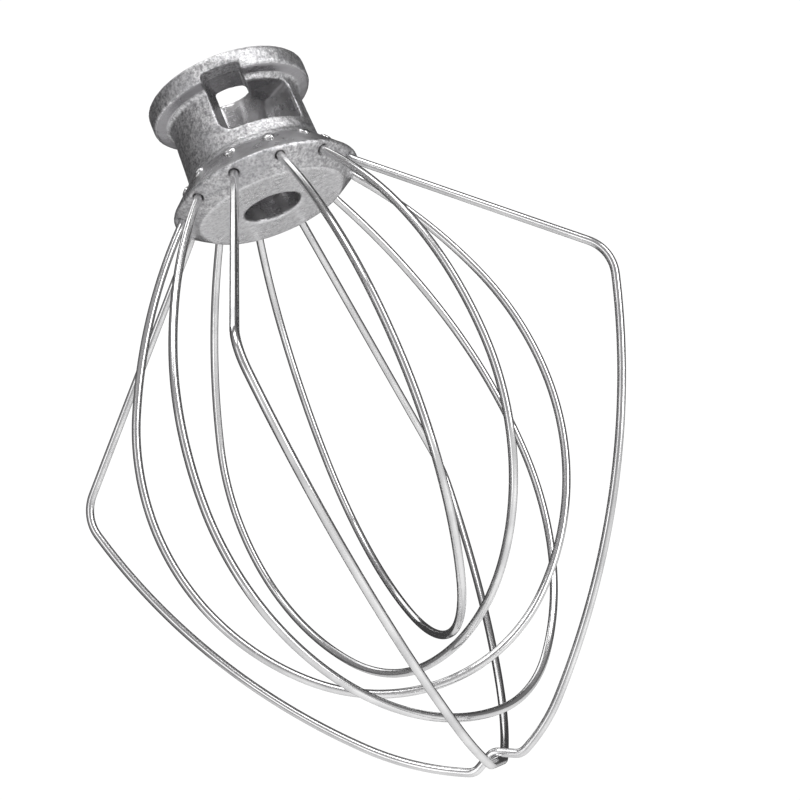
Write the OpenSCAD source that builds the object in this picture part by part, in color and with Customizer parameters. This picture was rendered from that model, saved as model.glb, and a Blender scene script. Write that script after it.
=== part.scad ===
// Wire whisk for a stand mixer: a cast hub with a bayonet window and six bent wire loops.
// Millimetres. The shaft bore's upper mouth is the origin, +Z points to the mixer and the
// wires hang below. Each loop lies in its own plane through the axis and joins two opposite
// holes of the hub, so the twelve wire ends are evenly spaced.

/* [Hub] */
// Height of the hub along the shaft
hub_h = 30; // [28:0.5:40]
// Diameter of the shaft bore
bore_d = 13; // [10:0.1:16]
// Outer diameter of the collar around the top
collar_d = 36.6; // [34:0.1:44]
// Height of the collar
collar_h = 4.8; // [3.6:0.1:6]
// Diameter of the neck just under the collar
neck_d = 29.6; // [27:0.1:32]
// Amount the neck widens towards its foot
neck_draft = 1; // [0:0.1:2]
// Diameter of the sharp rim of the flange
flange_d = 42.8; // [42.4:0.1:48]
// Height of the flange's rim above the hub's lower face
rim_z = 3.9; // [3.6:0.1:4.4]
// Height of the neck's foot above the lower face
foot_z = 10; // [9.4:0.1:12]
// Diameter of the raised disc in the middle of the lower face
boss_d = 33.8; // [30:0.1:34.2]

/* [Bayonet window] */
// Width of the tall entry part of the window
entry_w = 8.8; // [6:0.1:10]
// How far the entry's left wall closes in between the neck's skin and the bore
entry_draft = 1.8; // [0.5:0.1:2.5]
// Height of the window's sill above the hub's lower face
sill_z = 14; // [12:0.1:16]
// Height of the entry's ceiling above the lower face
entry_top_z = 27; // [26:0.1:27.4]
// Height of the lock slot's ceiling above the lower face
lock_top_z = 23.8; // [21:0.1:24.4]
// Angle of the lock slot's end wall from the front
lock_end = 38; // [30:1:50]
// Half the width of the lock slot
lock_half = 6; // [5:0.1:6.2]
// Rounding of the entry's lower corner
entry_round = 3.6; // [1:0.1:4]
// Rounding of the lock slot's end corners
lock_round = 1.8; // [0.6:0.1:3]

/* [Wire] */
// Diameter of the wire
wire_d = 1.8; // [1.4:0.1:1.8]
// Radial clearance of a wire in its hole
wire_gap = 0.03; // [0.01:0.01:0.06]
// Radius of the circle on which the wires leave the flange
hole_ring_r = 20; // [19.8:0.1:20.2]
// Radius of the circle on which their hammered heads sit above the flange
head_ring_r = 16.9; // [16.8:0.1:17.6]
// Diameter of a hammered head
head_d = 2.6; // [2.4:0.1:3]
// Angle of the first wire end from the window, the others follow every 30 degrees
first_leg = -15; // [-15:1:15]
// Radius of the slight bend just under each hole
root_r = 6; // [4:0.5:8]

/* [Outer loops] */
// Depth of both outer loops below the hub
outer_depth = 127.5; // [122:0.5:136]
// Largest distance of the first outer loop from the axis on each side
outer_a_reach = [62, 65]; // [59:0.5:68]
// Slope of its straight upper legs from the axis
outer_a_tilt = [44.5, 44.5]; // [40:0.5:48]
// Largest distance of the second outer loop from the axis on each side
outer_b_reach = [61.5, 59.5]; // [58:0.5:68]
// Slope of its straight upper legs from the axis
outer_b_tilt = [42, 34]; // [33:0.5:46]
// Radius of the bend at the widest point
shoulder_r = 9; // [6:0.5:14]
// Half the length of the plain loop's level stretch at the very bottom
level_half = 5; // [4:0.1:7]
// Slack between the two outer wires where they cross
crossing_gap = 0.15; // [0.1:0.05:1]

/* [Inner loops] */
// Depth of each inner loop below the hub, from the shortest to the longest
inner_depth = [100.5, 104, 109, 118]; // [98:0.5:124]
// Largest distance from the axis on the first side of each inner loop
inner_reach_1 = [42.5, 40, 43.5, 47]; // [36:0.5:52]
// Largest distance from the axis on the second side
inner_reach_2 = [38.5, 48, 48, 47.5]; // [36:0.5:51]
// Depth at which the first side of each inner loop is widest
inner_belly_1 = [53.5, 52, 53, 65]; // [46:0.5:68]
// Depth at which the second side is widest
inner_belly_2 = [49.5, 55.5, 58.5, 64]; // [46:0.5:68]
// Distance of each lowest point from the axis, towards the first side
inner_drift = [5, -8.5, -3.5, 6.5]; // [-10:0.5:10]

/* [Hidden] */
$fn = 96;
CAST = [0.66, 0.66, 0.68];
STEEL = [0.80, 0.80, 0.82];

cut = 20;                 // how far cutting shapes run past what they cut
edge = 0.6;               // small chamfers on the casting
face_z = -hub_h;          // the hub's lower face
rim_half = 0.25;          // half the height of the flange's narrow rim
leg_step = 30;
root_tilt = 41;           // slope at which an inner loop leaves its bend under the hub
upper_mid = 22;           // slope where the two arcs of an inner loop's upper half meet
lower_mid = -49;          // slope where the two arcs of its lower half meet
shoulder_end = -17;       // slope of an outer loop just below its shoulder
lower_leg_mid = -46;      // slope where the two arcs of its lower leg meet
lower_leg_end = -66;      // slope of the lower leg at the last bend
toe_r = 3;                // radius of that last bend
notch_r = 2.5;            // bends of the notch that lets the other outer loop pass
notch_turn = 26;
joint_gap = 0.05;         // bare length left at both sides of a joint, inside its ball
joint_skin = 0.02;        // how far a joint's ball stands proud of the wire
// lowest point of the cast underside where it meets the raised disc, and the rim's lower edge
valley = [boss_d / 2 + 0.4, 0.5];
rim_low = [flange_d / 2 - 0.4, rim_z - rim_half - 0.45];
rim_top = [flange_d / 2 - 0.3, rim_z + rim_half + 0.3];
foot_r = neck_d / 2 + neck_draft / 2 + 0.6;
// height at which a hole's axis meets the sloping underside
mouth_z = valley.y + (rim_low.y - valley.y) * (hole_ring_r - valley.x) / (rim_low.x - valley.x);
mouth = [hole_ring_r, face_z + mouth_z];
// a head's centre on the cone above the flange, and the cone's normal there
head_tilt = atan2(foot_z - rim_top.y, rim_top.x - foot_r);
head = [head_ring_r, rim_top.y + (rim_top.x - head_ring_r) * tan(head_tilt)];
head_rise = 0.35;
// a wire ends just under the cone, so that its flank breaks the surface inside the head
tip_depth = 0.6;
tip = head - tip_depth * [sin(head_tilt), cos(head_tilt)];
hole_tilt = atan2(hole_ring_r - tip.x, tip.y - mouth_z);
hole_len = norm(tip - [hole_ring_r, mouth_z]);
notch_rise = wire_d + crossing_gap;
notch_ramp = (notch_rise - 2 * notch_r * (1 - cos(notch_turn))) / sin(notch_turn);
notch_half = 2 * notch_r * sin(notch_turn) + notch_ramp * cos(notch_turn);

// ---- wire paths: steps drawn in a plane, x outwards and y upwards -------------------------
// A step is [slope, slope, length] for a straight run or [slope, new slope, radius] for a
// bend. A slope is measured from straight down, positive outwards.

function turns(s) = sign(s[0] - s[1]);
function advance(p, s) = turns(s) == 0
    ? p + s[2] * [sin(s[0]), -cos(s[0])]
    : p + turns(s) * s[2] * [cos(s[1]) - cos(s[0]), sin(s[1]) - sin(s[0])];
function reached(p, steps, n) = n == 0 ? p : advance(reached(p, steps, n - 1), steps[n - 1]);

// two tangent arcs that turn from slope a to m to b and end at the point q
function two_arcs(p, q, a, m, b) =
    let (u = [cos(m) - cos(a), sin(m) - sin(a)],
         v = [cos(b) - cos(m), sin(b) - sin(m)],
         d = q - p,
         det = u.x * v.y - u.y * v.x)
    [[a, m, (d.x * v.y - d.y * v.x) / det], [m, b, (u.x * d.y - u.y * d.x) / det]];

function root(tilt) = [[hole_tilt, tilt, root_r]];

// one side of an inner loop, from the hub to its lowest point
function inner_side(reach, belly, depth, drift) =
    let (start = reached(mouth, root(root_tilt), 1), wide = [reach, face_z - belly])
    concat(root(root_tilt),
           two_arcs(start, wide, root_tilt, upper_mid, 0),
           two_arcs(wide, [drift, face_z - depth], 0, lower_mid, -90));

// one side of an outer loop, from the hub to where its bottom starts, half from the axis
function outer_side(reach, tilt, half) =
    let (start = reached(mouth, root(tilt), 1),
         leg = (reach - start.x - shoulder_r * (1 - cos(tilt))) / sin(tilt),
         upper = concat(root(tilt), [[tilt, tilt, leg], [tilt, shoulder_end, shoulder_r]]),
         toe = [half + toe_r * cos(lower_leg_end),
                face_z - outer_depth + toe_r * (1 + sin(lower_leg_end))])
    concat(upper,
           two_arcs(reached(mouth, upper, 3), toe, shoulder_end, lower_leg_mid, lower_leg_end),
           [[lower_leg_end, -90, toe_r]]);

function plain_bottom() = [[-90, -90, level_half]];
function notched_bottom() = [
    [-90, -90 - notch_turn, notch_r],
    [-90 - notch_turn, -90 - notch_turn, notch_ramp],
    [-90 - notch_turn, -90, notch_r]];

module joint(p) { translate(p) sphere(d = wire_d + 2 * joint_skin); }

// one step, stopping just short of the joints at its two ends
module wire_step(p, s) {
    if (turns(s) == 0)
        translate(p) rotate([90, 0, s[0]]) translate([0, 0, joint_gap])
            cylinder(d = wire_d, h = s[2] - 2 * joint_gap);
    else {
        trim = joint_gap / s[2] * 180 / PI;
        translate(p - turns(s) * s[2] * [cos(s[0]), sin(s[0])])
            rotate([0, 0, min(s[0], s[1]) + trim + (turns(s) > 0 ? 0 : 180)])
                rotate_extrude(angle = abs(s[0] - s[1]) - 2 * trim)
                    translate([s[2], 0]) circle(d = wire_d);
    }
}

// the end held in the hub with its head, then every step of one side
module wire_side(steps) {
    translate(mouth) rotate([-90, 0, hole_tilt]) translate([0, 0, joint_gap])
        cylinder(d = wire_d, h = hole_len - joint_gap);
    translate([head.x, face_z + head.y]) rotate([-90, 0, -head_tilt])
        translate([0, 0, wire_gap])
            cylinder(d1 = head_d, d2 = head_d - head_rise, h = head_rise - wire_gap);
    for (n = [0 : len(steps) - 1]) {
        joint(reached(mouth, steps, n));
        wire_step(reached(mouth, steps, n), steps[n]);
    }
}

module wire_loop(leg, first, second) {
    color(STEEL)
    rotate([90, 0, first_leg + leg * leg_step - 90]) {
        wire_side(first);
        joint(reached(mouth, first, len(first)));
        mirror([1, 0, 0]) wire_side(second);
    }
}

function notched_side(n) =
    concat(outer_side(outer_a_reach[n], outer_a_tilt[n], notch_half), notched_bottom());
function plain_side(n) =
    concat(outer_side(outer_b_reach[n], outer_b_tilt[n], level_half), plain_bottom());

module outer_wire_notched() { wire_loop(3, notched_side(0), notched_side(1)); }

module outer_wire_plain() { wire_loop(0, plain_side(0), plain_side(1)); }

module inner_wire(n, leg) {
    wire_loop(leg, inner_side(inner_reach_1[n], inner_belly_1[n], inner_depth[n], inner_drift[n]),
                   inner_side(inner_reach_2[n], inner_belly_2[n], inner_depth[n], -inner_drift[n]));
}

module inner_wire_1() { inner_wire(0, 1); }
module inner_wire_2() { inner_wire(1, 2); }
module inner_wire_3() { inner_wire(2, 4); }
module inner_wire_4() { inner_wire(3, 5); }

// ---- hub ---------------------------------------------------------------------------------

// turned outline of the hub, heights above its lower face
module hub_blank() {
    collar_z = hub_h - collar_h;
    rotate_extrude() polygon([
        [0, 0], [boss_d / 2 - 0.3, 0], [boss_d / 2, 0.3], valley,
        rim_low, [flange_d / 2, rim_z - rim_half], [flange_d / 2, rim_z + rim_half], rim_top,
        [foot_r, foot_z], [foot_r, foot_z + 0.4], [foot_r - edge, foot_z + 1],
        [neck_d / 2, collar_z - 1.2], [neck_d / 2 + 0.4, collar_z - edge],
        [collar_d / 2 - 1.8, collar_z - 0.3], [collar_d / 2 - edge, collar_z],
        [collar_d / 2, collar_z + edge], [collar_d / 2, hub_h - edge],
        [collar_d / 2 - edge, hub_h], [0, hub_h]]);
}

module shaft_bore() {
    translate([0, 0, -1]) cylinder(d = bore_d, h = hub_h + 2);
}

// a quarter of a circle, for a rounded corner
function corner(c, r, start) = [for (a = [0 : 15 : 90]) c + r * [cos(start + a), sin(start + a)]];

// a cut as high and wide as its outline, from the axis out through the front
module front_cut(outline) { rotate([90, 0, 0]) linear_extrude(2 * cut) polygon(outline); }

// the tall part of the window, with one rounded lower corner; its left wall closes in towards
// the bore
module entry_cut() {
    half = entry_w / 2;
    intersection() {
        front_cut(concat(corner([entry_round - half, sill_z + entry_round], entry_round, 180),
                         [[half, sill_z], [half, entry_top_z], [-half, entry_top_z]]));
        linear_extrude(hub_h) polygon([[entry_draft - half, 0], [entry_draft - half, -bore_d / 2],
                                       [-half, -neck_d / 2], [-half, -2 * cut], [half, -2 * cut],
                                       [half, 0]]);
    }
}

// the slot in which the mixer's pin turns to its stop
module lock_cut() {
    end = lock_half - lock_round;
    rotate([0, 0, lock_end])
        front_cut(concat([[-lock_half, sill_z]],
                         corner([end, sill_z + lock_round], lock_round, -90),
                         corner([end, lock_top_z - lock_round], lock_round, 0),
                         [[-lock_half, lock_top_z]]));
}

// each hole has a shallow recess at its mouth and just breaks through the cone under the head
module wire_holes() {
    for (k = [0 : 11])
        rotate([0, 0, first_leg + k * leg_step - 90])
            translate([hole_ring_r, 0, mouth_z]) rotate([0, -hole_tilt, 0]) {
                translate([0, 0, -2])
                    cylinder(d = wire_d + 2 * wire_gap, h = hole_len + 2 + wire_gap);
                translate([0, 0, -2]) cylinder(d = wire_d + 0.6, h = 2.6);
            }
}

module hub() {
    color(CAST)
    translate([0, 0, face_z])
    difference() {
        hub_blank();
        shaft_bore();
        union() { entry_cut(); lock_cut(); }
        wire_holes();
    }
}

hub();
outer_wire_notched();
outer_wire_plain();
inner_wire_1();
inner_wire_2();
inner_wire_3();
inner_wire_4();
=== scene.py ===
import math
import random

import bpy
import numpy as np
from mathutils import Matrix, Vector

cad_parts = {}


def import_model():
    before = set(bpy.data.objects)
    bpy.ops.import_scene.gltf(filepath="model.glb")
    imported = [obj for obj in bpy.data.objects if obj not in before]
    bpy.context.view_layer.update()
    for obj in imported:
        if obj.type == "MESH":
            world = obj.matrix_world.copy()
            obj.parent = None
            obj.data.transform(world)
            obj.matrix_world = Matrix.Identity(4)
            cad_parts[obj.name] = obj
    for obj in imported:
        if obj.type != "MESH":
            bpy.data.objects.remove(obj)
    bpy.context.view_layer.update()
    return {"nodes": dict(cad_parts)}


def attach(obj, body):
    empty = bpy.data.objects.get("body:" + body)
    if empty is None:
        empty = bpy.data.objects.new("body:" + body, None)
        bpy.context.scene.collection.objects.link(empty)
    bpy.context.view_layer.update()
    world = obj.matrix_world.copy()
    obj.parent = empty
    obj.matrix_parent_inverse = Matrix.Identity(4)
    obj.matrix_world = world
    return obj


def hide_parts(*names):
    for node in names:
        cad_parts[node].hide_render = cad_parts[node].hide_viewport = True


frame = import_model()

MM = 0.001
HUB_H = 30.0
WIRE_R = 0.9
HOLE_RING = 20.0        # radius at which the wires leave the flange
HEAD_RING = 16.9        # radius at which their hammered heads sit
FIRST_LEG, LEG_STEP = -15.0, 30.0
ROOT_BEND = 6.0
RIM_TOP, FOOT = (21.1, 4.45), (15.9, 10.0)      # ends of the machined cone, radius and height
VALLEY, RIM_LOW = (17.3, 0.5), (21.0, 3.2)      # ends of the sloping underside
TIP_DEPTH = 0.6         # how far under the cone a wire ends, below its head
INNER_ROOT, INNER_UPPER, INNER_LOWER = 41.0, 22, -49    # slopes between the arcs of an inner loop
SHOULDER_END, LEG_MID, LEG_END = -17.0, -46, -66.0      # slopes below an outer loop's shoulder
LEVEL = -90.0           # slope of a level run towards the axis
OUTER_DEPTH = 127.5
LEVEL_HALF = 5.0        # half the plain loop's level bottom
SHOULDER_R, TOE_R, NOTCH_R = 9.0, 3.0, 2.5
NOTCH_TURN = 26.0
CROSSING_GAP = 0.15
ROUND = 20              # points round a wire
HEAD_ROUND = 28         # points round a hammered head
PITCH = 0.7             # spacing of the rings along a wire, mm
FLOOR_Z, FLOOR_HALF = -0.75, 2.5        # metres
WORLD_FRONT, WORLD_BACK = 0.38, 0.06    # brightness of the surroundings before and behind
SEEN_WHITE = 1.05       # brightness of the background itself

CONE_TILT = math.degrees(math.atan2(FOOT[1] - RIM_TOP[1], RIM_TOP[0] - FOOT[0]))
HEAD_Z = RIM_TOP[1] + (RIM_TOP[0] - HEAD_RING) * math.tan(math.radians(CONE_TILT)) - HUB_H
MOUTH = np.array([HOLE_RING, VALLEY[1] - HUB_H + (RIM_LOW[1] - VALLEY[1])
                  * (HOLE_RING - VALLEY[0]) / (RIM_LOW[0] - VALLEY[0])])
HEAD = np.array([HEAD_RING, HEAD_Z])
CONE_NORMAL = np.array([math.sin(math.radians(CONE_TILT)), math.cos(math.radians(CONE_TILT))])
TIP = HEAD - TIP_DEPTH * CONE_NORMAL
HOLE_TILT = math.degrees(math.atan2(MOUTH[0] - TIP[0], TIP[1] - MOUTH[1]))


# ---- wire paths, drawn in a plane: x outwards, y up; a slope is measured from straight down

def cos_sin(a):
    return np.array([math.cos(math.radians(a)), math.sin(math.radians(a))])


def advance(p, step):
    a, b, size = step
    if a == b:
        return p + size * np.array([cos_sin(a)[1], -cos_sin(a)[0]])
    return p + math.copysign(size, a - b) * (cos_sin(b) - cos_sin(a))


def reached(p, steps):
    for step in steps:
        p = advance(p, step)
    return p


def two_arcs(p, q, a, m, b):
    """Two tangent arcs that turn from slope a to m to b and end at q."""
    u, v = cos_sin(m) - cos_sin(a), cos_sin(b) - cos_sin(m)
    first, second = np.linalg.solve(np.column_stack([u, v]), q - p)
    return [(a, m, first), (m, b, second)]


def inner_side(reach, belly, depth, drift):
    root = [(HOLE_TILT, INNER_ROOT, ROOT_BEND)]
    wide = np.array([reach, -HUB_H - belly])
    low = np.array([drift, -HUB_H - depth])
    return (root + two_arcs(reached(MOUTH, root), wide, INNER_ROOT, INNER_UPPER, 0)
            + two_arcs(wide, low, 0, INNER_LOWER, LEVEL))


def outer_side(reach, tilt, half):
    root = [(HOLE_TILT, tilt, ROOT_BEND)]
    start = reached(MOUTH, root)
    leg = (reach - start[0] - SHOULDER_R * (1 - cos_sin(tilt)[0])) / cos_sin(tilt)[1]
    upper = root + [(tilt, tilt, leg), (tilt, SHOULDER_END, SHOULDER_R)]
    toe = np.array([half + TOE_R * cos_sin(LEG_END)[0],
                    -HUB_H - OUTER_DEPTH + TOE_R * (1 + cos_sin(LEG_END)[1])])
    return (upper + two_arcs(reached(MOUTH, upper), toe, SHOULDER_END, LEG_MID, LEG_END)
            + [(LEG_END, LEVEL, TOE_R)])


def notched_sides(reaches, tilts):
    """Both sides of the loop that rises at its lowest point, so that the other loop can pass."""
    sine, cosine = cos_sin(NOTCH_TURN)[1], cos_sin(NOTCH_TURN)[0]
    ramp = (2 * WIRE_R + CROSSING_GAP - 2 * NOTCH_R * (1 - cosine)) / sine
    half = 2 * NOTCH_R * sine + ramp * cosine
    steep = LEVEL - NOTCH_TURN
    rise = [(LEVEL, steep, NOTCH_R), (steep, steep, ramp), (steep, LEVEL, NOTCH_R)]
    return [outer_side(reach, tilt, half) + rise for reach, tilt in zip(reaches, tilts)]


def plain_sides(reaches, tilts):
    level = [(LEVEL, LEVEL, LEVEL_HALF)]
    return [outer_side(reach, tilt, LEVEL_HALF) + level for reach, tilt in zip(reaches, tilts)]


def sampled(steps):
    """Points along one side at an even pitch, from inside the hub to the loop's lowest point."""
    points = [TIP]
    p = MOUTH
    for a, b, size in steps:
        length = size if a == b else abs(math.radians(a - b)) * size
        count = max(2, round(length / PITCH))
        for i in range(count):
            part = (a, b, size * i / count) if a == b else (a, a + (b - a) * i / count, size)
            points.append(advance(p, part) if i else p)
        p = advance(p, (a, b, size))
    return np.array(points + [p])


def loop_path(angle, first, second):
    """The whole loop in space, from one hole over the bottom to the opposite hole, in metres."""
    one, two = sampled(first), sampled(second)
    flat = np.vstack([one, (two * [-1, 1])[-2::-1]])
    out = np.array([math.sin(math.radians(angle)), -math.cos(math.radians(angle)), 0.0])
    return (flat[:, :1] * out + flat[:, 1:] * np.array([0.0, 0.0, 1.0])) * MM


# ---- meshes

def mesh_object(name, verts, faces, uvs=None):
    mesh = bpy.data.meshes.new(name)
    mesh.from_pydata([tuple(v) for v in verts], [], faces)
    if uvs is not None:
        layer = mesh.uv_layers.new(name="along")
        index = np.zeros(len(mesh.loops), np.int32)
        mesh.loops.foreach_get("vertex_index", index)
        layer.data.foreach_set("uv", np.asarray(uvs, np.float32)[index].ravel())
    mesh.polygons.foreach_set("use_smooth", [True] * len(mesh.polygons))
    mesh.update()
    obj = bpy.data.objects.new(name, mesh)
    bpy.context.scene.collection.objects.link(obj)
    return obj


def tube(path, radius):
    """Rings round a planar path, with uvs of length along and angle round in metres."""
    tangent = np.gradient(path, axis=0)
    tangent /= np.linalg.norm(tangent, axis=1)[:, None]
    out = path[0] - path[-1]
    side = np.cross(out * [1, 1, 0], [0, 0, 1])
    side /= np.linalg.norm(side)
    other = np.cross(tangent, side)
    along = np.concatenate([[0], np.cumsum(np.linalg.norm(np.diff(path, axis=0), axis=1))])
    verts, uvs, faces = [], [], []
    for i, p in enumerate(path):
        for k in range(ROUND):
            t = 2 * math.pi * k / ROUND
            verts.append(p + radius * (math.cos(t) * side + math.sin(t) * other[i]))
            uvs.append((along[i], t * radius))
    for i in range(len(path) - 1):
        for k in range(ROUND):
            a, b = i * ROUND + k, i * ROUND + (k + 1) % ROUND
            faces.append((a, b, b + ROUND, a + ROUND))
    last = (len(path) - 1) * ROUND
    faces.append(tuple(range(ROUND - 1, -1, -1)))
    faces.append(tuple(range(last, last + ROUND)))
    return verts, faces, uvs


def hammered_head(angle, rng):
    """A flattened, uneven dome on the cone, over the end of a wire."""
    out = np.array([math.sin(math.radians(angle)), -math.cos(math.radians(angle)), 0.0])
    up = np.array([0.0, 0.0, 1.0])
    normal = out * CONE_NORMAL[0] + up * CONE_NORMAL[1]
    slope = -out * CONE_NORMAL[1] + up * CONE_NORMAL[0]
    across = np.cross(normal, slope)
    centre = out * HEAD[0] + up * HEAD[1]
    wide, tall = 1.5 + rng.uniform(-0.1, 0.1), 1.3 + rng.uniform(-0.1, 0.08)
    dents = [(rng.uniform(0, 6.28), rng.uniform(0.3, 0.8), rng.uniform(0.02, 0.06))
             for _ in range(4)]
    rings = [(1.0, -0.42), (1.0, 0.0), (0.98, 0.16), (0.91, 0.30), (0.79, 0.41), (0.61, 0.50),
             (0.40, 0.55), (0.2, 0.57)]
    count = HEAD_ROUND
    verts, faces = [], []
    for size, height in rings:
        for k in range(count):
            t = 2 * math.pi * k / count
            ragged = 1 + 0.05 * math.sin(2 * t + dents[0][0]) + 0.04 * math.sin(3 * t + dents[1][0])
            x, y = size * wide * ragged * math.cos(t), size * tall * ragged * math.sin(t)
            z = height
            if height > 0:
                for turn, reach, depth in dents:
                    d2 = (x - reach * math.cos(turn)) ** 2 + (y - reach * math.sin(turn)) ** 2
                    z -= depth * math.exp(-d2 / 0.12)
            verts.append((centre + across * x + slope * y + normal * z) * MM)
    for r in range(len(rings) - 1):
        for k in range(count):
            a, b = r * count + k, r * count + (k + 1) % count
            faces.append((a, b, b + count, a + count))
    last = (len(rings) - 1) * count
    faces.append(tuple(range(last, last + count)))
    faces.append(tuple(range(count - 1, -1, -1)))
    return verts, faces


def wire(name, leg, first, second, rng):
    """One whole loop with a head at each end; the heads use the second material."""
    angle = FIRST_LEG + leg * LEG_STEP
    verts, faces, uvs = tube(loop_path(angle, first, second), WIRE_R * MM)
    tube_faces = len(faces)
    for turn in (0, 180):
        more, quads = hammered_head(angle + turn, rng)
        base = len(verts)
        verts += more
        faces += [tuple(i + base for i in q) for q in quads]
        uvs += [(0.0, 0.0)] * len(more)
    obj = mesh_object(name, verts, faces, uvs)
    for i, face in enumerate(obj.data.polygons):
        face.material_index = int(i >= tube_faces)
    return obj


# ---- shader helpers

class Nodes:
    """A material's node tree with short ways to add and join nodes."""

    def __init__(self, name):
        self.material = bpy.data.materials.new(name)
        self.material.use_nodes = True
        self.tree = self.material.node_tree
        self.shader = self.tree.nodes["Principled BSDF"]

    def add(self, kind, links=None, **settings):
        node = self.tree.nodes.new(kind)
        for key, value in settings.items():
            setattr(node, key, value)
        for key, value in (links or {}).items():
            self.put(node, key, value)
        return node

    def put(self, node, key, value):
        if isinstance(value, bpy.types.NodeSocket):
            self.tree.links.new(value, node.inputs[key])
        else:
            node.inputs[key].default_value = value

    def math(self, operation, a, b=0.0, clamp=False):
        node = self.add("ShaderNodeMath", {0: a, 1: b}, operation=operation, use_clamp=clamp)
        return node.outputs[0]

    def noise(self, vector, scale, detail=2.0, rough=0.5):
        node = self.add("ShaderNodeTexNoise", {"Vector": vector, "Scale": scale, "Detail": detail,
                                               "Roughness": rough})
        return node.outputs[0]

    def ramp(self, value, low, high, to_low=0.0, to_high=1.0):
        node = self.add("ShaderNodeMapRange", {0: value, 1: low, 2: high, 3: to_low, 4: to_high},
                        interpolation_type="SMOOTHSTEP")
        return node.outputs[0]

    def between(self, value, low, high, soft):
        """1 where value is between low and high, with soft edges."""
        return self.math("MULTIPLY", self.ramp(value, low - soft, low + soft),
                         self.ramp(value, high - soft, high + soft, 1.0, 0.0))

    def mix(self, factor, a, b):
        node = self.add("ShaderNodeMix", data_type="RGBA")
        for socket, value in ((node.inputs[0], factor), (node.inputs[6], a), (node.inputs[7], b)):
            if isinstance(value, bpy.types.NodeSocket):
                self.tree.links.new(value, socket)
            else:
                socket.default_value = value
        return node.outputs[2]

    def bump(self, height, distance, strength=1.0, normal=None):
        links = {"Height": height, "Distance": distance, "Strength": strength}
        if normal is not None:
            links["Normal"] = normal
        return self.add("ShaderNodeBump", links).outputs[0]


def grey(value, warm=0.0, blue=0.0):
    return (value + warm, value, value + blue, 1.0)


def drawn_steel():
    n = Nodes("drawn_steel")
    uv = n.add("ShaderNodeUVMap", uv_map="along").outputs[0]
    obj = n.add("ShaderNodeTexCoord").outputs["Object"]
    lines = n.add("ShaderNodeMapping", {"Vector": uv, "Scale": (260.0, 9000.0, 1.0)}).outputs[0]
    draw = n.noise(lines, 1.0, 2.0)
    nicks = n.ramp(n.noise(obj, 900.0, 3.0, 0.6), 0.66, 0.76)
    smears = n.noise(obj, 140.0, 3.0)
    n.put(n.shader, "Metallic", 1.0)
    n.put(n.shader, "Base Color", n.mix(n.ramp(smears, 0.3, 0.7), grey(0.80), grey(0.64, 0.0, 0.004)))
    rough = n.math("ADD", n.ramp(smears, 0.35, 0.75, 0.13, 0.26), n.math("MULTIPLY", nicks, 0.25))
    n.put(n.shader, "Roughness", rough)
    height = n.math("SUBTRACT", n.math("MULTIPLY", draw, 0.35), nicks)
    n.put(n.shader, "Normal", n.bump(height, 0.00002, 0.10))
    return n.material


def hammered_steel_painted_highlight():
    n = Nodes("hammered_steel_painted_highlight")
    obj = n.add("ShaderNodeTexCoord").outputs["Object"]
    dull = n.noise(obj, 1100.0, 3.0)
    n.put(n.shader, "Metallic", 0.6)
    # Base colour: the bare hammered steel's own light tone, pushed to near white as a painted highlight
    # on the heads
    n.put(n.shader, "Base Color", n.mix(n.ramp(dull, 0.35, 0.7), grey(0.97), grey(0.84)))
    n.put(n.shader, "Roughness", n.ramp(dull, 0.3, 0.7, 0.40, 0.52))
    n.put(n.shader, "Normal", n.bump(dull, 0.0001, 0.2))
    return n.material


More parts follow.
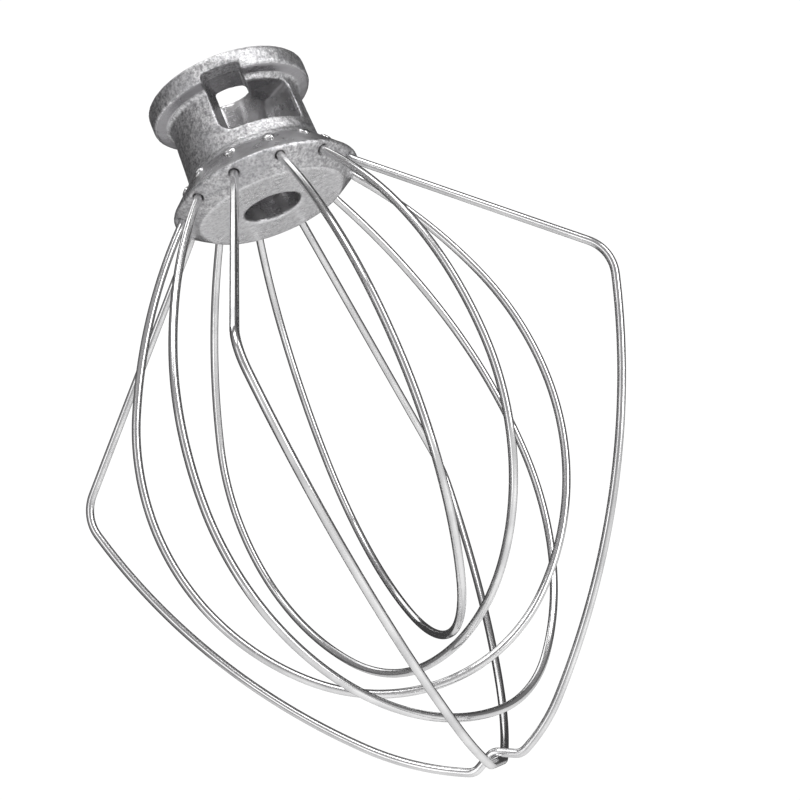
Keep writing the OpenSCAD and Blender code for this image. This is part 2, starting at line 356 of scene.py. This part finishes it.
def cast_metal():
    """As-cast grain, with smooth turned bands on the cone, the lower disc and inside the window."""
    n = Nodes("cast_metal")
    obj = n.add("ShaderNodeTexCoord").outputs["Object"]
    xyz = n.add("ShaderNodeSeparateXYZ", {"Vector": obj})
    x, y, z = xyz.outputs[0], xyz.outputs[1], xyz.outputs[2]
    radius = n.math("SQRT", n.math("ADD", n.math("MULTIPLY", x, x), n.math("MULTIPLY", y, y)))
    cone = n.math("MULTIPLY", n.between(z, -0.0256, -0.0204, 0.00015),
                  n.ramp(radius, 0.0155, 0.0158))
    disc = n.math("MULTIPLY", n.ramp(z, -0.02985, -0.02965, 1.0, 0.0),
                  n.ramp(radius, 0.0168, 0.0171, 1.0, 0.0))
    under = n.math("MULTIPLY", n.between(z, -0.0056, -0.0046, 0.0001), n.ramp(radius, 0.0155, 0.016))
    inside = n.ramp(radius, 0.0138, 0.0143, 1.0, 0.0)
    turned = n.math("MAXIMUM", n.math("MAXIMUM", cone, disc), n.math("MAXIMUM", under, inside))
    cast = n.math("SUBTRACT", 1.0, turned)
    grain = n.noise(obj, 2300.0, 4.0, 0.7)
    mottle = n.noise(obj, 1000.0, 5.0, 0.68)
    pores = n.ramp(n.noise(obj, 1700.0, 3.0, 0.7), 0.60, 0.72)
    patch = n.noise(obj, 130.0, 4.0, 0.6)
    scratch_space = n.add("ShaderNodeMapping", {"Vector": obj, "Rotation": (0.4, 0.3, 0.7),
                                                "Scale": (240.0, 5200.0, 900.0)}).outputs[0]
    scratches = n.ramp(n.noise(scratch_space, 1.0, 3.0), 0.60, 0.72)
    rings = n.math("SINE", n.math("MULTIPLY", n.math("ADD", radius, n.math("MULTIPLY", z, 0.7)), 21000.0))
    ring = n.ramp(z, -0.0268, -0.0262, 1.0, 0.0)
    speckle = n.math("ADD", n.math("MULTIPLY", grain, 0.45), n.math("MULTIPLY", mottle, 0.55))
    cast_colour = n.mix(n.ramp(speckle, 0.38, 0.62), grey(0.30, 0.004, 0.012), grey(0.92, 0.0, 0.006))
    cast_colour = n.mix(n.ramp(patch, 0.4, 0.7, 0.0, 0.5), cast_colour, grey(0.44, -0.004, 0.02))
    cast_colour = n.mix(n.math("MULTIPLY", ring, 0.3), cast_colour, grey(0.20, 0.006, 0.006))
    turned_colour = n.mix(n.ramp(patch, 0.3, 0.7), grey(0.42, 0.004, 0.010), grey(0.56, 0.004, 0.008))
    disc_colour = n.mix(n.ramp(speckle, 0.36, 0.64), grey(0.50, 0.004, 0.012), grey(0.84, 0.0, 0.006))
    turned_colour = n.mix(disc, turned_colour, disc_colour)
    turned_colour = n.mix(under, turned_colour, grey(0.36, 0.006, 0.014))
    turned_colour = n.mix(n.math("MULTIPLY", scratches, 0.35), turned_colour, grey(0.75))
    n.put(n.shader, "Base Color", n.mix(turned, cast_colour, turned_colour))
    n.put(n.shader, "Metallic", 0.92)
    rough = n.math("ADD", n.math("MULTIPLY", cast, 0.06), n.ramp(patch, 0.3, 0.7, 0.24, 0.34))
    n.put(n.shader, "Roughness", rough)
    height = n.math("MULTIPLY", cast, n.math("SUBTRACT", grain, n.math("MULTIPLY", pores, 0.5)))
    fine = n.math("MULTIPLY", turned, n.math("ADD", n.math("MULTIPLY", rings, 0.05),
                                             n.math("MULTIPLY", scratches, 0.12)))
    n.put(n.shader, "Normal", n.bump(n.math("ADD", height, fine), 0.0003, 0.42))
    return n.material


def give(obj, *materials):
    obj.data.materials.clear()
    for material in materials:
        obj.data.materials.append(material)


# ---- the object

def cast_hub():
    """The CAD hub with its edges softened and its skin made slightly uneven, as a casting's is."""
    hub = frame["nodes"]["hub"]
    remesh = hub.modifiers.new("grid", "REMESH")
    remesh.mode, remesh.voxel_size, remesh.use_smooth_shade = "VOXEL", 0.32 * MM, True
    soften = hub.modifiers.new("soften", "SMOOTH")
    soften.factor, soften.iterations = 0.5, 4
    skin = bpy.data.textures.new("skin", "CLOUDS")
    skin.noise_scale, skin.noise_depth = 1.6 * MM, 2
    uneven = hub.modifiers.new("uneven", "DISPLACE")
    uneven.texture, uneven.texture_coords = skin, "LOCAL"
    uneven.strength, uneven.mid_level = 0.09 * MM, 0.5
    give(hub, cast_metal())


def inner_loop(number, leg, reach, belly, depth, drift, rng):
    first = inner_side(reach[0], belly[0], depth, drift)
    second = inner_side(reach[1], belly[1], depth, -drift)
    return wire(f"inner_wire_{number}_drawn", leg, first, second, rng)


def wires():
    rng = random.Random(11)
    # The heads' material carries a painted highlight: its near-white base colour stands in for glare
    steel, head_steel_painted_highlight = drawn_steel(), hammered_steel_painted_highlight()
    made = {
        "outer_wire_notched": wire("outer_wire_notched_drawn", 3,
                                   *notched_sides((62.0, 65.0), (44.5, 44.5)), rng),
        "outer_wire_plain": wire("outer_wire_plain_drawn", 0,
                                 *plain_sides((61.5, 59.5), (42.0, 34.0)), rng),
        "inner_wire_1": inner_loop(1, 1, (42.5, 38.5), (53.5, 49.5), 100.5, 5.0, rng),
        "inner_wire_2": inner_loop(2, 2, (40.0, 48.0), (52.0, 55.5), 104.0, -8.5, rng),
        "inner_wire_3": inner_loop(3, 4, (43.5, 48.0), (53.0, 58.5), 109.0, -3.5, rng),
        "inner_wire_4": inner_loop(4, 5, (47.0, 47.5), (65.0, 64.0), 118.0, 6.5, rng),
    }
    for node, obj in made.items():
        give(obj, steel, head_steel_painted_highlight)
        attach(obj, "root")
        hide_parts(node)


# ---- studio

def floor():
    n = Nodes("pale_floor")
    obj = n.add("ShaderNodeTexCoord").outputs["Object"]
    n.put(n.shader, "Base Color", n.mix(n.noise(obj, 3.0, 3.0), grey(0.86), grey(0.90)))
    n.put(n.shader, "Roughness", 0.8)
    n.put(n.shader, "Emission Color", grey(1.0))
    n.put(n.shader, "Emission Strength", 0.5)
    corners = [(-1, -1), (1, -1), (1, 1), (-1, 1)]
    plane = mesh_object("floor", [(x * FLOOR_HALF, y * FLOOR_HALF, FLOOR_Z) for x, y in corners],
                        [(0, 1, 2, 3)])
    give(plane, n.material)


def softbox(name, azimuth, elevation, distance, size, brightness, target=Vector((0, 0, -0.07))):
    """A rectangular lamp aimed at the cage; its energy is set from how bright its face looks."""
    data = bpy.data.lights.new(name, "AREA")
    data.shape, data.size, data.size_y = "RECTANGLE", size[0], size[1]
    data.energy = brightness * math.pi * size[0] * size[1]
    light = bpy.data.objects.new(name, data)
    a, e = math.radians(azimuth), math.radians(elevation)
    back = Vector((math.sin(a) * math.cos(e), -math.cos(a) * math.cos(e), math.sin(e)))
    light.location = target + back * distance
    light.rotation_mode = "QUATERNION"
    light.rotation_quaternion = (-back).to_track_quat("-Z", "Y")
    bpy.context.scene.collection.objects.link(light)


def world():
    """White where the camera sees it; for light and reflections, bright in front and dark behind."""
    w = bpy.data.worlds.new("studio")
    bpy.context.scene.world = w
    w.use_nodes = True
    nodes, links = w.node_tree.nodes, w.node_tree.links
    back = nodes["Background"]
    seen = nodes.new("ShaderNodeBackground")
    seen.inputs[0].default_value, seen.inputs[1].default_value = (1, 1, 1, 1), SEEN_WHITE
    toward, split = nodes.new("ShaderNodeTexCoord"), nodes.new("ShaderNodeSeparateXYZ")
    fall = nodes.new("ShaderNodeMapRange")
    for socket, value in zip(fall.inputs[1:5], (-0.55, 0.45, WORLD_FRONT, WORLD_BACK)):
        socket.default_value = value
    links.new(toward.outputs["Generated"], split.inputs[0])
    links.new(split.outputs[1], fall.inputs[0])
    links.new(fall.outputs[0], back.inputs[1])
    back.inputs[0].default_value = (1.0, 0.985, 1.0, 1)
    path, mix = nodes.new("ShaderNodeLightPath"), nodes.new("ShaderNodeMixShader")
    links.new(path.outputs["Is Camera Ray"], mix.inputs[0])
    links.new(back.outputs[0], mix.inputs[1])
    links.new(seen.outputs[0], mix.inputs[2])
    links.new(mix.outputs[0], nodes["World Output"].inputs[0])


def camera():
    azimuth, elevation, roll = math.radians(-3.46), math.radians(-13.36), math.radians(-22.6)
    back = Vector((math.sin(azimuth) * math.cos(elevation), -math.cos(azimuth) * math.cos(elevation),
                   math.sin(elevation)))
    right = Vector((math.cos(azimuth), math.sin(azimuth), 0))
    up = back.cross(right)
    right2 = math.cos(roll) * right + math.sin(roll) * up
    up2 = -math.sin(roll) * right + math.cos(roll) * up
    data = bpy.data.cameras.new("camera")
    data.sensor_width, data.lens = 36.0, 69.97
    data.shift_x, data.shift_y = -0.0243, -0.0066
    cam = bpy.data.objects.new("camera", data)
    aim = right2 * 0.0150 + Vector((0, 0, -0.0756))
    place = aim + back * 0.3302
    cam.matrix_world = Matrix(((right2.x, up2.x, back.x, place.x), (right2.y, up2.y, back.y, place.y),
                               (right2.z, up2.z, back.z, place.z), (0, 0, 0, 1)))
    data.clip_start, data.clip_end = 0.01, 50.0
    bpy.context.scene.collection.objects.link(cam)
    bpy.context.scene.camera = cam


def studio():
    floor()
    world()
    softbox("front_left", -35, 6, 0.9, (0.28, 1.0), 1.3)
    softbox("front_right", 52, 8, 0.9, (0.32, 1.0), 4.8)
    softbox("key", 14, 56, 0.9, (0.44, 0.36), 4.6)
    softbox("low", 16, -62, 0.9, (0.5, 0.25), 1.2)
    softbox("top", 186, 76, 1.0, (0.8, 0.6), 1.5)
    bpy.context.scene.view_settings.view_transform = "Standard"


cast_hub()
wires()
studio()
camera()
